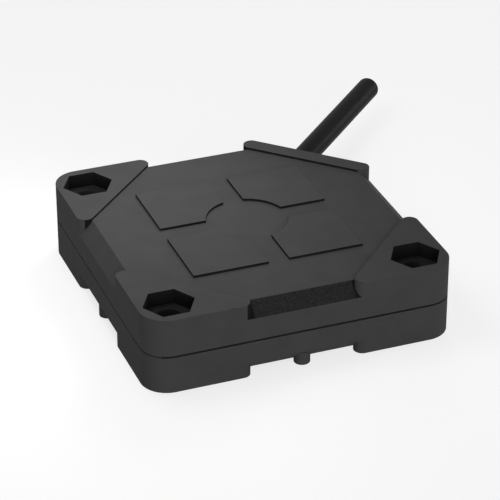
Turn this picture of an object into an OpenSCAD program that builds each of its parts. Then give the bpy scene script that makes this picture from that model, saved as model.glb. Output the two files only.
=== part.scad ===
// Flat square capacitive sensor: two moulded shells closed on a stack of two boards,
// with a cable that leaves one chamfered corner. Millimetres, +Z up, feet on z = 0.
// The active face looks up and the origin is the middle of the footprint.

/* [Body] */
// Side length of the square body
body_w = 40; // [38:0.5:50]
// Height from the feet to the top of the corner pads
body_h = 10.1; // [9.9:0.1:13]
// Radius of the three rounded corners
corner_r = 3.4; // [1.8:0.1:4]
// Length that the chamfered corner takes off each side
chamfer_leg = 11.75; // [11.2:0.05:12.4]
// Radius where the chamfer meets the sides
chamfer_end_r = 0.8; // [0.4:0.1:1.2]
// Height of the seam between the shells
seam_z = 5; // [4.8:0.1:5.2]
// Height of the shadow groove along the seam
seam_groove_h = 0.2; // [0.1:0.05:0.4]
// Depth of the shadow groove
seam_groove_depth = 0.2; // [0.1:0.05:0.3]

/* [Walls] */
// Thickness of the side walls
side_wall = 1.2; // [1.1:0.05:1.5]
// Thickness of the active face
front_wall = 1.2; // [0.8:0.05:1.4]
// Thickness of the rear shell's floor
rear_wall = 1.2; // [0.9:0.05:1.3]
// Least wall between a nut pocket and the hollow inside
boss_wall = 1.2; // [0.8:0.1:1.6]
// Inner corner radius of the hollow
hollow_r = 0.6; // [0.3:0.1:1]
// Thickness of the tongue that locates the shells
tongue_t = 0.5; // [0.4:0.05:0.6]
// Height of the tongue above the seam
tongue_h = 0.8; // [0.5:0.1:1.2]
// Clearance around the tongue
tongue_gap = 0.06; // [0.04:0.01:0.1]
// Width of the ledge that carries the circuit board
ledge_w = 1.1; // [0.9:0.1:1.6]
// Height of the ledge above the floor
ledge_h = 0.5; // [0.4:0.05:0.6]

/* [Pads, feet and bevels] */
// Length of a triangular corner pad along each side
pad_leg = 14.75; // [13.5:0.05:15.5]
// Radius of a pad's tips
pad_tip_r = 1.1; // [0.5:0.05:1.6]
// Height of the pads, the bar and the mark plates above the active face
pad_h = 0.3; // [0.1:0.02:0.4]
// Height of the feet below the rear face
foot_h = 0.5; // [0.3:0.05:0.6]
// Width of the raised bar along the chamfer
bar_w = 2.2; // [1.6:0.1:2.8]
// Depth of the bevel around the active face
front_bevel = 1.8; // [1.2:0.1:2]
// Depth of the bevel around the rear face
rear_bevel = 1.5; // [1:0.1:1.7]
// Diameter of the support pegs on the rear face
peg_d = 2.05; // [1.4:0.05:2.4]
// Distance from the side wall to a peg's axis
peg_inset = 1.2; // [1.2:0.05:2]

/* [Fixing holes] */
// Distance from the side walls to a fixing hole's axis
hole_inset = 4; // [3.8:0.1:4.4]
// Diameter of the screw holes
hole_d = 3.4; // [3.2:0.1:3.6]
// Width across the flats of the nut pockets
nut_flats = 5.68; // [5.5:0.02:5.8]
// Depth of the nut pockets
nut_depth = 1.9; // [1.2:0.1:2.6]

/* [Target marks] */
// Distance from the middle to the outer edges of the four mark plates
mark_reach = 11.1; // [9:0.1:12]
// Width of the cross-shaped gap between the mark plates
mark_gap = 2.7; // [1.5:0.1:3.5]
// Radius of the round cut-out in the middle of the marks
mark_hole_r = 5.2; // [3:0.1:6.5]

/* [Type plate] */
// Length of the bare plate on the front bevel
plate_w = 13.1; // [10:0.1:16]
// Bevel left free above and below the plate
plate_margin = 0.12; // [0.08:0.02:0.4]
// Thickness of the plate
plate_t = 0.15; // [0.12:0.01:0.2]
// Depth of the plate's recess
plate_recess = 0.1; // [0.06:0.01:0.11]

/* [Boards and electrodes] */
// Thickness of the circuit board
board_t = 1; // [0.8:0.1:1.1]
// Thickness of the electrode board
electrode_board_t = 0.8; // [0.6:0.1:1]
// Clearance between the boards and the walls
board_gap = 0.3; // [0.2:0.05:0.4]
// Thickness of the copper electrodes
copper_t = 0.1; // [0.05:0.01:0.15]
// Radius of the sensing electrode
sensing_r = 8; // [6:0.25:8.5]
// Inner radius of the compensation electrode
ring_inner_r = 9; // [8.75:0.25:9.5]
// Outer radius of the compensation electrode
ring_outer_r = 10.6; // [10:0.1:11]
// Width of the screen electrode, a frame around the other two
screen_w = 3.2; // [2:0.1:3.6]
// Bare edge of the electrode board around the screen electrode
screen_margin = 0.4; // [0.3:0.1:1.2]
// Least bare gap between the screen electrode and the compensation electrode
electrode_gap = 0.4; // [0.3:0.1:0.8]
// Thickness of the screen foil on the floor
foil_t = 0.1; // [0.05:0.01:0.15]
// Clearance between the foil or the resin and the ledge
foil_gap = 0.1; // [0.05:0.05:0.3]
// Diameter of the pins that join the boards
pin_d = 0.5; // [0.4:0.05:0.6]
// Spacing of the pins
pin_pitch = 1.27; // [1.2:0.01:1.6]
// Radial clearance of a pin in its holes
pin_gap = 0.06; // [0.03:0.01:0.1]
// Height of the pins' plastic strip
header_h = 1.5; // [1:0.1:2.5]
// Width of the pins' plastic strip
header_w = 1.8; // [1.4:0.1:2.4]
// Distance from the boards' edge to the outer rows of parts
row_inset = 4.7; // [4.4:0.1:5]

/* [Circuit parts] */
// Step of the grid that the circuit parts are placed on
place_grid = 1; // [0.9:0.05:1.1]
// Length of the oscillator chip
chip_l = 4.9; // [4:0.1:5.5]
// Width of the oscillator chip
chip_w = 3.9; // [3:0.1:4.4]
// Height of the oscillator chip
chip_h = 1.5; // [1:0.1:2]
// Spacing of the oscillator chip's legs
chip_pitch = 1.27; // [1:0.01:1.3]
// Length of the output transistor
transistor_l = 6.5; // [5:0.1:7]
// Width of the output transistor
transistor_w = 3.5; // [3:0.1:4]
// Height of the output transistor
transistor_h = 1.6; // [1.2:0.1:2]
// Spacing of the output transistor's legs
transistor_pitch = 2.3; // [1.6:0.1:2.5]
// Length of the voltage regulator
regulator_l = 2.9; // [2.4:0.1:3.4]
// Width of the voltage regulator
regulator_w = 1.6; // [1.2:0.1:2]
// Height of the voltage regulator
regulator_h = 1.1; // [0.8:0.1:1.6]
// Spacing of the voltage regulator's legs
regulator_pitch = 0.95; // [0.8:0.05:1]
// Length of a protection diode
diode_l = 4.3; // [3.4:0.1:4.6]
// Width of a protection diode
diode_w = 2.6; // [2:0.1:2.9]
// Height of a protection diode
diode_h = 2.1; // [1.4:0.1:2.4]
// Length of a large capacitor
large_capacitor_l = 3.2; // [2.8:0.1:3.6]
// Width of a large capacitor
large_capacitor_w = 2.5; // [2:0.1:2.8]
// Height of a large capacitor
large_capacitor_h = 1.8; // [1.2:0.1:2.2]
// Length of a small capacitor
capacitor_l = 2; // [1.6:0.1:2.3]
// Width of a small capacitor
capacitor_w = 1.25; // [0.8:0.05:1.4]
// Height of a small capacitor
capacitor_h = 0.9; // [0.6:0.1:1.3]
// Length of a resistor
resistor_l = 1.6; // [1:0.1:1.8]
// Width of a resistor
resistor_w = 0.8; // [0.5:0.05:1]
// Height of a resistor
resistor_h = 0.45; // [0.3:0.05:0.6]
// Thickness of a part's metal leg
leg_t = 0.18; // [0.1:0.02:0.24]
// Length of the leg's foot on the board
leg_foot = 0.5; // [0.3:0.05:0.6]
// Length of the metal cap on a chip's end
cap_l = 0.25; // [0.15:0.05:0.4]

/* [Cable] */
// Outer diameter of the cable
cable_d = 3.1; // [2.8:0.05:3.3]
// Distance from the chamfer's middle to the cable's axis
cable_across = 3.8; // [3.5:0.05:4.2]
// Outer diameter of the grommet's neck
grommet_d = 4.6; // [4.2:0.05:4.7]
// Outer diameter of the grommet's inner flange
flange_d = 5.2; // [5:0.05:5.3]
// Thickness of the grommet's inner flange
flange_t = 1; // [0.6:0.1:1.4]
// Outer diameter of the crimp ring
crimp_d = 4.2; // [3.9:0.05:4.6]
// Length of the crimp ring
crimp_l = 1.8; // [1.2:0.1:2.4]
// Length of jacket that stands out of the crimp ring
jacket_tail = 0.5; // [0.3:0.1:1]
// Diameter of an insulated core
core_d = 0.9; // [0.7:0.05:1]
// Diameter of a core's bare conductor
conductor_d = 0.4; // [0.3:0.05:0.5]
// Length of bare conductor at the end of a core
conductor_l = 1.2; // [0.9:0.1:1.6]
// Diameter of a solder joint
solder_d = 1.5; // [1.3:0.05:1.55]
// Spacing of the cores' solder joints
solder_pitch = 1.6; // [1.6:0.05:1.8]

/* [Indicator] */
// Distance from the chamfer's middle to the light guide's axis
guide_across = -0.7; // [-0.9:0.1:-0.3]
// Diameter of the light guide's window
guide_d = 1.8; // [1.4:0.1:2]
// Width of the light guide's block
guide_block_w = 2.2; // [2.1:0.05:2.4]
// Length of the light guide's block
guide_block_l = 2.4; // [2.2:0.1:2.8]
// Height of the lamp
lamp_h = 0.7; // [0.5:0.05:0.75]
// Length of the lamp
lamp_l = 1.6; // [1.2:0.1:1.8]
// Width of the lamp
lamp_w = 1.2; // [0.8:0.1:1.5]

/* [Adjuster] */
// Distance from the chamfer's middle to the adjuster's axis
trimmer_across = -4.4; // [-4.7:0.05:-4.2]
// Width of the trimmer's case
trimmer_w = 3.6; // [3.5:0.05:3.8]
// Length of the trimmer's case
trimmer_l = 3.6; // [3.2:0.1:4.5]
// Thickness of the trimmer case's walls
trimmer_wall = 0.4; // [0.3:0.05:0.45]
// Diameter of the rotor's shaft
shaft_d = 1.8; // [1.6:0.05:2]
// Radial running clearance of the rotor
rotor_gap = 0.06; // [0.04:0.01:0.1]
// Depth of the shaft's end below the chamfer
shaft_recess = 0.3; // [0.1:0.05:0.4]
// Width of the screwdriver slot
slot_w = 0.4; // [0.3:0.05:0.6]
// Depth of the screwdriver slot
slot_depth = 0.3; // [0.2:0.05:0.35]
// Thickness of the rubber seal's section
seal_t = 0.26; // [0.2:0.02:0.3]

/* [Hidden] */
$fn = 64;
beyond = 1;
root2 = sqrt(2);
half_w = body_w / 2;
face_z = body_h - pad_h;
ceiling_z = face_z - front_wall;
floor_z = foot_h + rear_wall;
board_z = floor_z + ledge_h;
board_top = board_z + board_t;
electrode_z = ceiling_z - copper_t;
electrode_board_z = electrode_z - electrode_board_t;
axis_z = seam_z;
chamfer_sum = body_w - chamfer_leg;
hole_place = half_w - hole_inset;
hole_places = [[-hole_place, -hole_place], [hole_place, -hole_place], [-hole_place, hole_place]];
nut_r = nut_flats / 2 / cos(30);
// A pocket's reach towards the middle of the body, along the diagonal
nut_reach = nut_r * cos(15);
boss_leg = 2 * hole_inset + root2 * (nut_reach + boss_wall);
// The plane of a bevel, moved inwards by the wall, limits what lies beside it
bevel_wall = side_wall * root2;
floor_limit = half_w - (rear_bevel + foot_h + bevel_wall - board_z);
ceiling_limit = half_w - (front_bevel - face_z + electrode_z + bevel_wall);
hollow_half = half_w - side_wall;
board_half = min(hollow_half, floor_limit) - board_gap;
electrode_half = min(hollow_half, ceiling_limit) - board_gap;
screen_half = electrode_half - screen_margin;
crimp_start = -side_wall - flange_t;
jacket_start = crimp_start - crimp_l - jacket_tail;
plate_l = front_bevel * root2 - 2 * plate_margin;
// The plate's recess runs on to the tips of the pads beside it
recess_w = 2 * (half_w - pad_leg + pad_tip_r * (1 + root2));
guide_start = -side_wall - guide_block_l;
lamp_place = guide_start + guide_block_l / 2;
lamp_top = board_top + lamp_h;
rotor_clearance_d = shaft_d + 2 * rotor_gap;
trimmer_front = -side_wall - board_gap;
drum_d = trimmer_w - 2 * trimmer_wall - 2 * rotor_gap;
seal_clearance = 0.01;
seal_place = -(side_wall + shaft_recess) / 2;
seal_orbit = shaft_d / 2 + rotor_gap - seal_clearance - seal_t / 2;
electrode_clear = board_gap - min(jacket_start, trimmer_front - trimmer_l);
// The outer rows of parts keep their distance from the board's edge, here also in grid steps
row = board_half - row_inset;
edge = row / place_grid;
pin_count = 4;
// Where the cores lie on the board, inwards from the chamfer
core_land = -10;
core_stop = -11;
// The cores' places in the jacket, as turns about the cable's axis and a distance from it
core_turns = [60, 180, -60];
core_orbit = 0.62;

// The cable's free stretch, from the chamfer outwards, then across, then up
cable_route = [[0, 0, 0], [8, 0, 0], [16, 0, 0], [24, 0, 0], [31, 0, 0]];
cable_sides = 8;

function unit(v) = v / norm(v);

// A convex outline whose corners are true arcs
module rounded_outline(corners, radii) {
  n = len(corners);
  function before(i) = unit(corners[(i + n - 1) % n] - corners[i]);
  function after(i) = unit(corners[(i + 1) % n] - corners[i]);
  function reach(i) = radii[i] / tan(acos(before(i) * after(i)) / 2);
  function centre(i) = corners[i] + unit(before(i) + after(i)) * norm([reach(i), radii[i]]);
  polygon([for (i = [0:n - 1], way = [before(i), after(i)]) corners[i] + reach(i) * way]);
  for (i = [0:n - 1]) translate(centre(i)) circle(r = radii[i]);
}

module slab(z0, z1) {
  translate([0, 0, z0]) linear_extrude(z1 - z0) children();
}

// The body seen from above, drawn in by inset
module body_outline(inset = 0) {
  h = half_w - inset;
  far = chamfer_sum - inset * root2 - h;
  round_r = corner_r - inset;
  end_r = chamfer_end_r - inset;
  rounded_outline([[-h, -h], [h, -h], [h, far], [far, h], [-h, h]],
    [round_r, round_r, end_r, end_r, round_r]);
}

// Eight-sided outline of the hollow, the boards and the ledges
module octagon(half, sum, exit_sum, r = hollow_r) {
  near = sum - half;
  exit = exit_sum - half;
  rounded_outline([[-half, -near], [-near, -half], [near, -half], [half, -near],
    [half, exit], [exit, half], [-near, half], [-half, near]], [for (i = [1:8]) r]);
}

module hollow_outline(grow = 0) {
  octagon(hollow_half + grow, body_w - boss_leg + grow * root2,
    chamfer_sum + (grow - side_wall) * root2);
}

// Three triangular corner areas and the bar along the chamfer, a fourth one that the chamfer cuts
module raised_areas() {
  for (turn = [0, 90, -90]) rotate(turn)
    rounded_outline([[-half_w, -half_w], [-half_w + pad_leg, -half_w],
      [-half_w, -half_w + pad_leg]], [corner_r, pad_tip_r, pad_tip_r]);
  near = chamfer_sum - bar_w * root2 - half_w;
  intersection() {
    body_outline();
    rounded_outline([[half_w, near], [half_w, half_w], [near, half_w]],
      [pad_tip_r, corner_r, pad_tip_r]);
  }
}

// Takes a 45 degree bevel off all four sides below (way -1) or above (way 1) height z
module bevel_cut(z, depth, way) {
  reach = depth + beyond;
  for (turn = [0:90:270]) rotate(turn)
    translate([-half_w - beyond, 0, 0]) rotate([90, 0, 90]) linear_extrude(body_w + 2 * beyond)
      polygon([[-half_w - beyond, z - way * reach], [-half_w + reach, z + way * beyond],
        [-half_w - beyond, z + way * beyond]]);
}

// The frame of the chamfered corner: x points out of the body, y along the chamfer
module at_chamfer(across) {
  translate([chamfer_sum / 2, chamfer_sum / 2, axis_z]) rotate(45) translate([0, across, 0])
    children();
}

module rod(d, x0, x1) {
  translate([x0, 0, 0]) rotate([0, 90, 0]) cylinder(d = d, h = x1 - x0);
}

// Holes for the cable, the light guide and the adjuster
module chamfer_holes() {
  inside = -side_wall - beyond;
  at_chamfer(cable_across) rod(grommet_d, inside, beyond);
  at_chamfer(guide_across) rod(guide_d, inside, beyond);
  at_chamfer(trimmer_across) rod(rotor_clearance_d, inside, beyond);
}

module fixing_holes() {
  for (place = hole_places) translate([place[0], place[1], -beyond])
    cylinder(d = hole_d, h = body_h + 2 * beyond);
}

module seam_groove(z0, z1) {
  slab(z0, z1) difference() {
    square(body_w + 2 * beyond, center = true);
    body_outline(seam_groove_depth);
  }
}

module target_marks() {
  size = mark_reach - mark_gap / 2;
  slab(face_z - pad_h, body_h) difference() {
    for (turn = [0:90:270]) rotate(turn) translate([mark_gap / 2, mark_gap / 2]) square(size);
    circle(r = mark_hole_r);
  }
}

module on_front_bevel() {
  translate([0, -half_w + front_bevel / 2, face_z - front_bevel / 2]) rotate([45, 0, 0])
    children();
}

module front_shell() {
  color("#37393b") difference() {
    union() {
      difference() {
        slab(seam_z, face_z) body_outline();
        bevel_cut(face_z, front_bevel, 1);
        on_front_bevel() cube([recess_w, plate_l, 2 * plate_recess], center = true);
      }
      slab(seam_z, body_h) raised_areas();
      target_marks();
    }
    difference() {
      slab(seam_z - beyond, ceiling_z) hollow_outline();
      translate([0, 0, -bevel_wall]) bevel_cut(face_z, front_bevel, 1);
    }
    slab(seam_z - beyond, seam_z + tongue_h + tongue_gap) hollow_outline(tongue_t + tongue_gap);
    seam_groove(seam_z - beyond, seam_z + seam_groove_h / 2);
    fixing_holes();
    for (place = hole_places) translate([place[0], place[1], body_h - nut_depth])
      cylinder(r = nut_r, h = nut_depth + beyond, $fn = 6);
    chamfer_holes();
    on_front_bevel() cube([plate_w, plate_l, 2 * plate_recess], center = true);
  }
}

module rear_shell() {
  color("#333537") difference() {
    union() {
      difference() {
        slab(foot_h, seam_z) body_outline();
        bevel_cut(foot_h, rear_bevel, -1);
      }
      slab(0, seam_z) raised_areas();
      for (turn = [0:90:270]) rotate(turn) translate([0, peg_inset - half_w, 0])
        cylinder(d = peg_d, h = floor_z);
      slab(seam_z, seam_z + tongue_h) hollow_outline(tongue_t);
    }
    difference() {
      slab(floor_z, body_h) hollow_outline();
      translate([0, 0, bevel_wall]) bevel_cut(foot_h, rear_bevel, -1);
      slab(0, board_z) difference() {
        hollow_outline(beyond);
        hollow_outline(-ledge_w);
      }
    }
    seam_groove(seam_z - seam_groove_h / 2, seam_z + beyond);
    fixing_holes();
    chamfer_holes();
  }
}

module type_plate() {
  color("#1f2021") on_front_bevel()
    translate([0, 0, plate_t / 2 - plate_recess]) cube([plate_w, plate_l, plate_t], center = true);
}

// The hollow's outline drawn in to a half width, cut back at the chamfered corner by clear
module inner_outline(half, clear) {
  grow = half - hollow_half;
  octagon(half, body_w - boss_leg + grow * root2, chamfer_sum - clear * root2);
}

function pin_places() = [for (i = [0:pin_count - 1]) [-row, (i - (pin_count - 1) / 2) * pin_pitch]];

module pin_holes() {
  for (place = pin_places()) translate(place) circle(d = pin_d + 2 * pin_gap);
}

// The electrode board stops short of the pieces that are clamped at the seam
module electrode_board() {
  color("#1f6b3a") slab(electrode_board_z, electrode_z) difference() {
    inner_outline(electrode_half, electrode_clear);
    pin_holes();
  }
}

module copper() {
  color("#b87333") slab(electrode_z, ceiling_z) children();
}

module sensing_electrode() {
  copper() circle(r = sensing_r);
}

module compensation_electrode() {
  copper() difference() {
    circle(r = ring_outer_r);
    circle(r = ring_inner_r);
  }
}

module screen_electrode() {
  copper() difference() {
    inner_outline(screen_half, electrode_clear + screen_margin);
    inner_outline(screen_half - screen_w, electrode_clear + screen_margin + screen_w);
    circle(r = ring_outer_r + electrode_gap);
    pin_holes();
  }
}

// The circuit board leaves room for the grommet, the crimp ring and the cable's tail
module circuit_board() {
  notch_w = flange_d + 2 * board_gap;
  notch_l = beyond - jacket_start + board_gap;
  color("#1f6b3a") slab(board_z, board_top) difference() {
    inner_outline(board_half, side_wall + board_gap);
    translate([chamfer_sum / 2, chamfer_sum / 2]) rotate(45)
      translate([jacket_start - board_gap, cable_across - notch_w / 2]) square([notch_l, 2 * notch_w]);
    pin_holes();
  }
}

module floor_outline() {
  hollow_outline(-ledge_w - foil_gap);
}

module rear_screen() {
  color("#c8ccd0") slab(floor_z, floor_z + foil_t) floor_outline();
}

// Resin that beds the circuit board on the floor
module potting_compound() {
  color("#15171a") slab(floor_z + foil_t, board_z) floor_outline();
}

module pin_header() {
  color("#202020") slab(board_top, board_top + header_h) difference() {
    translate([-row, 0]) square([header_w, pin_count * pin_pitch], center = true);
    pin_holes();
  }
}

module header_pins() {
  color("#d8c070") for (place = pin_places()) translate([place[0], place[1], board_z])
    cylinder(d = pin_d, h = electrode_z - board_z);
}

// A moulded chip package with bent legs along both long sides
module leaded_package(size, legs, pitch) {
  rise = size[2] / 2;
  leg_w = min(pitch, size[0]) / 3;
  slab(leg_t / 2, size[2]) square([size[0], size[1]], center = true);
  for (side = [0, 180], i = [0:legs - 1]) rotate(side)
    translate([(i - (legs - 1) / 2) * pitch - leg_w / 2, size[1] / 2, 0])
      rotate([90, 0, 90]) linear_extrude(leg_w)
        polygon([[-leg_t, rise], [leg_t, rise], [2 * leg_t, 0], [leg_t + leg_foot, 0],
          [leg_t + leg_foot, leg_t], [3 * leg_t, leg_t], [2 * leg_t, rise + leg_t],
          [-leg_t, rise + leg_t]]);
}

// A ceramic chip with a cap on each end
module chip_part(size) {
  lip = cap_l / 6;
  slab(0, size[2] - lip) square([size[0], size[1] - 2 * lip], center = true);
  for (side = [-1, 1]) translate([side * (size[0] - cap_l) / 2, 0, 0])
    slab(0, size[2]) square([cap_l, size[1]], center = true);
}

// Puts a part on the circuit board at [x, y, turn], with x and y in grid steps
module on_board(place) {
  translate([place[0] * place_grid, place[1] * place_grid, board_top]) rotate(place[2])
    children();
}

module oscillator_chip() {
  color("#232527") on_board([-4, -4, 0]) leaded_package([chip_l, chip_w, chip_h], 4, chip_pitch);
}

module output_transistor() {
  color("#232527") on_board([7.5, -6.5, 90])
    leaded_package([transistor_l, transistor_w, transistor_h], 3, transistor_pitch);
}

module voltage_regulator() {
  color("#232527") on_board([2, -edge, 0])
    leaded_package([regulator_l, regulator_w, regulator_h], 3, regulator_pitch);
}

module protection_diodes() {
  color("#232527") for (place = [[-7, edge, 0], [0, edge, 0], [-edge, 7, 90]])
    on_board(place) leaded_package([diode_l, diode_w, diode_h], 1, diode_l);
}

module capacitors() {
  color("#b09a78") {
    for (place = [[3, -4, 90], [-4, -9, 0], [-9, -4, 90], [-4, 1, 0], [8, -edge, 0], [edge, 1, 90]])
      on_board(place) chip_part([capacitor_l, capacitor_w, capacitor_h]);
    for (place = [[-4, -edge, 0], [edge, -4, 90]])
      on_board(place) chip_part([large_capacitor_l, large_capacitor_w, large_capacitor_h]);
  }
}

module resistors() {
  color("#2a2a2c") for (place = [[0, 1, 0], [3, 1, 0], [6, 1, 0], [-8, 1, 90], [-8, -9, 0],
      [-9, -edge, 90], [0, -8, 90], [3, -8, 90], [-2, 5, 0], [-5, 5, 0]])
    on_board(place) chip_part([resistor_l, resistor_w, resistor_h]);
}

module status_lamp() {
  color("#e8d24a") at_chamfer(guide_across) translate([lamp_place, 0, board_top - axis_z])
    chip_part([lamp_l, lamp_w, lamp_h]);
}

// Clear block above the lamp whose sloped back turns the light out through the wall
module light_guide() {
  low = lamp_top - axis_z;
  high = guide_block_w / 2;
  lip = 0.2;
  color("#f4f0d8") at_chamfer(guide_across) {
    rod(guide_d, -side_wall - beyond / 2, 0);
    translate([0, guide_block_w / 2, 0]) rotate([90, 0, 0]) linear_extrude(guide_block_w)
      polygon([[guide_start, low], [-side_wall, low], [-side_wall, high],
        [guide_start + high - low - lip, high], [guide_start, low + lip]]);
  }
}

// A closed case on the circuit board that holds the rotor's drum
module trimmer_case() {
  h = axis_z - board_top;
  color("#2f5fa8") at_chamfer(trimmer_across) difference() {
    translate([trimmer_front - trimmer_l, -trimmer_w / 2, -h]) cube([trimmer_l, trimmer_w, 2 * h]);
    rod(drum_d + 2 * rotor_gap, trimmer_front - trimmer_l + trimmer_wall, trimmer_front - trimmer_wall);
    rod(rotor_clearance_d, trimmer_front - beyond, trimmer_front + beyond);
  }
}

// The drum and its shaft in one turned piece, slotted for a screwdriver
module trimmer_rotor() {
  drum_x0 = trimmer_front - trimmer_l + trimmer_wall + rotor_gap;
  drum_x1 = trimmer_front - trimmer_wall - rotor_gap;
  groove_d = 2 * (seal_orbit - seal_t / 2 - seal_clearance);
  groove_w = seal_t + 4 * seal_clearance;
  color("#c9a24a") at_chamfer(trimmer_across) difference() {
    union() {
      rod(drum_d, drum_x0, drum_x1);
      rod(shaft_d, drum_x1, -shaft_recess);
    }
    difference() {
      rod(shaft_d + beyond, seal_place - groove_w / 2, seal_place + groove_w / 2);
      rod(groove_d, seal_place - groove_w, seal_place + groove_w);
    }
    translate([-shaft_recess - slot_depth, -shaft_d, -slot_w / 2])
      cube([slot_depth + beyond, 2 * shaft_d, slot_w]);
  }
}

module trimmer_seal() {
  color("#111111") at_chamfer(trimmer_across) translate([seal_place, 0, 0]) rotate([0, 90, 0])
    rotate_extrude() translate([seal_orbit, 0]) circle(d = seal_t);
}

// Neck in the wall and flange behind it
module cable_grommet() {
  color("#1c1c1d") at_chamfer(cable_across) difference() {
    union() {
      rod(grommet_d, -side_wall - beyond / 2, 0);
      rod(flange_d, crimp_start, -side_wall);
    }
    rod(cable_d, crimp_start - beyond, beyond);
  }
}

module crimp_ring() {
  color("#b9bcc0") at_chamfer(cable_across) difference() {
    rod(crimp_d, crimp_start - crimp_l, crimp_start);
    rod(cable_d, crimp_start - crimp_l - beyond, crimp_start + beyond);
  }
}

// The jacket inside the grommet and the ring, drilled for the three cores
module cable_end() {
  color("#242424") at_chamfer(cable_across) difference() {
    rod(cable_d, jacket_start, 0);
    for (turn = core_turns) rotate([turn, 0, 0]) translate([0, 0, core_orbit])
      rod(core_d, jacket_start - beyond, jacket_start + jacket_tail);
  }
}

// Points of a ring around a route's point, square to the route
function ring_points(route, i, r, sides) =
  let (ahead = unit(route[min(i + 1, len(route) - 1)] - route[max(i - 1, 0)]),
    across = unit(cross([0, 0, 1], ahead)),
    up = cross(ahead, across))
  [for (k = [0:sides - 1]) route[i] + r * (cos(360 * k / sides) * across
    + sin(360 * k / sides) * up)];

// A closed tube along a route
module tube(route, d, sides) {
  n = len(route);
  points = [for (i = [0:n - 1]) each ring_points(route, i, d / 2, sides)];
  walls = [for (i = [0:n - 2], k = [0:sides - 1]) let (next = (k + 1) % sides)
    [i * sides + k, (i + 1) * sides + k, (i + 1) * sides + next, i * sides + next]];
  ends = [[for (k = [0:sides - 1]) k], [for (k = [sides - 1:-1:0]) (n - 1) * sides + k]];
  polyhedron(points = points, faces = concat(walls, ends));
}

// A core leaves its hole in the jacket and comes down to the board beside its neighbours
module core(i) {
  turn = core_turns[i];
  straight = 1.2;
  start = [jacket_start + jacket_tail, -core_orbit * sin(turn), core_orbit * cos(turn)];
  lane = (i - 1) * solder_pitch;
  low = board_top + core_d / 2 - axis_z;
  out = start - [straight, 0, 0];
  land = [core_land, lane, low];
  end = [core_stop, lane, low];
  at_chamfer(cable_across) tube([start, out, (out + land) / 2, land, end], core_d, 8);
}

module core_brown() {
  color("#6b4423") core(0);
}

module core_black() {
  color("#1a1a1a") core(1);
}

module core_blue() {
  color("#2b4f9e") core(2);
}

module conductor_rods() {
  for (i = [-1:1]) at_chamfer(cable_across)
    translate([core_stop - conductor_l, i * solder_pitch, board_top + core_d / 2 - axis_z])
      rod(conductor_d, 0, conductor_l);
}

module conductor_ends() {
  color("#c87f4a") conductor_rods();
}

// Domes of solder, each a ball sunk a little into the board's face
module solder_joints() {
  sink = 0.05;
  color("#c9ccd1") difference() {
    for (i = [-1:1]) at_chamfer(cable_across)
      translate([core_stop - (conductor_l + solder_d / 2) / 2, i * solder_pitch, board_top - axis_z])
        intersection() {
          translate([0, 0, -sink]) sphere(d = solder_d);
          slab(0, solder_d) square(2 * solder_d, center = true);
        }
    conductor_rods();
  }
}

module cable() {
  color("#232425") at_chamfer(cable_across) tube(cable_route, cable_d, cable_sides);
}

front_shell();
rear_shell();
type_plate();
electrode_board();
sensing_electrode();
compensation_electrode();
screen_electrode();
circuit_board();
rear_screen();
potting_compound();
pin_header();
header_pins();
oscillator_chip();
output_transistor();
voltage_regulator();
protection_diodes();
capacitors();
resistors();
status_lamp();
light_guide();
trimmer_case();
trimmer_rotor();
trimmer_seal();
cable_grommet();
crimp_ring();
cable_end();
core_brown();
core_black();
core_blue();
conductor_ends();
solder_joints();
cable();
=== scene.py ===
"""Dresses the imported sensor: rounded shells, finishes, cable, plain studio and camera.

Named sizes are millimetres, as in the part's source, and become metres when a piece is finished.
HAIR is the slack in comparisons.
"""

import math

import bmesh
import bpy
from mathutils import Matrix, Vector


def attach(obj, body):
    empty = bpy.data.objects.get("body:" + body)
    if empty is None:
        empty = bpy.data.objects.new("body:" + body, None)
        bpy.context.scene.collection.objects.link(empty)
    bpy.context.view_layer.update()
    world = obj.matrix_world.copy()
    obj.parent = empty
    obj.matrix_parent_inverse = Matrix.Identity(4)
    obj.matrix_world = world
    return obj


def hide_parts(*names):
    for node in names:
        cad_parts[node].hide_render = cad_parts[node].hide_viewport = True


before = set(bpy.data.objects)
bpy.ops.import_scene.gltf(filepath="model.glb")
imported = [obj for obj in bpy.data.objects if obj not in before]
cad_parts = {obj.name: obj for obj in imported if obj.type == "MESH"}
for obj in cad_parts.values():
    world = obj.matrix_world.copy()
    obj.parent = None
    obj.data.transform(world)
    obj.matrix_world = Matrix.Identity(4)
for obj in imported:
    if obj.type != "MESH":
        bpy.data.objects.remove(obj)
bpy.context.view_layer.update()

MM = 0.001
ROOT2 = math.sqrt(2)
QUARTER = math.pi / 2
HOUSING = "housing"
ADJUSTER = "adjuster"
HAIR = 0.01

# Sizes of the part, as its source has them
BODY_W = 40
BODY_H = 10.1
CORNER_R = 3.4
CHAMFER_LEG = 11.75
CHAMFER_END_R = 0.8
SEAM_Z = 5
SEAM_GROOVE_H = 0.2
SEAM_GROOVE_DEPTH = 0.2
SIDE_WALL = 1.2
FRONT_WALL = 1.2
REAR_WALL = 1.2
BOSS_WALL = 1.2
HOLLOW_R = 0.6
TONGUE_T = 0.5
TONGUE_H = 0.8
TONGUE_GAP = 0.06
LEDGE_W = 1.1
LEDGE_H = 0.5
PAD_LEG = 14.75
PAD_TIP_R = 1.1
PAD_H = 0.3
FOOT_H = 0.5
BAR_W = 2.2
FRONT_BEVEL = 1.8
REAR_BEVEL = 1.5
PEG_D = 2.05
PEG_INSET = 1.2
HOLE_INSET = 4
HOLE_D = 3.4
NUT_FLATS = 5.68
NUT_DEPTH = 1.9
MARK_REACH = 11.1
MARK_GAP = 2.7
MARK_HOLE_R = 5.2
PLATE_W = 13.1
PLATE_MARGIN = 0.12
PLATE_T = 0.15
PLATE_RECESS = 0.1
BOARD_T = 1
CABLE_D = 3.1
CABLE_ACROSS = 3.8
CABLE_LENGTH = 31
GROMMET_D = 4.6
FLANGE_D = 5.2
FLANGE_T = 1
CRIMP_L = 1.8
CORE_D = 0.9
CONDUCTOR_D = 0.4
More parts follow.
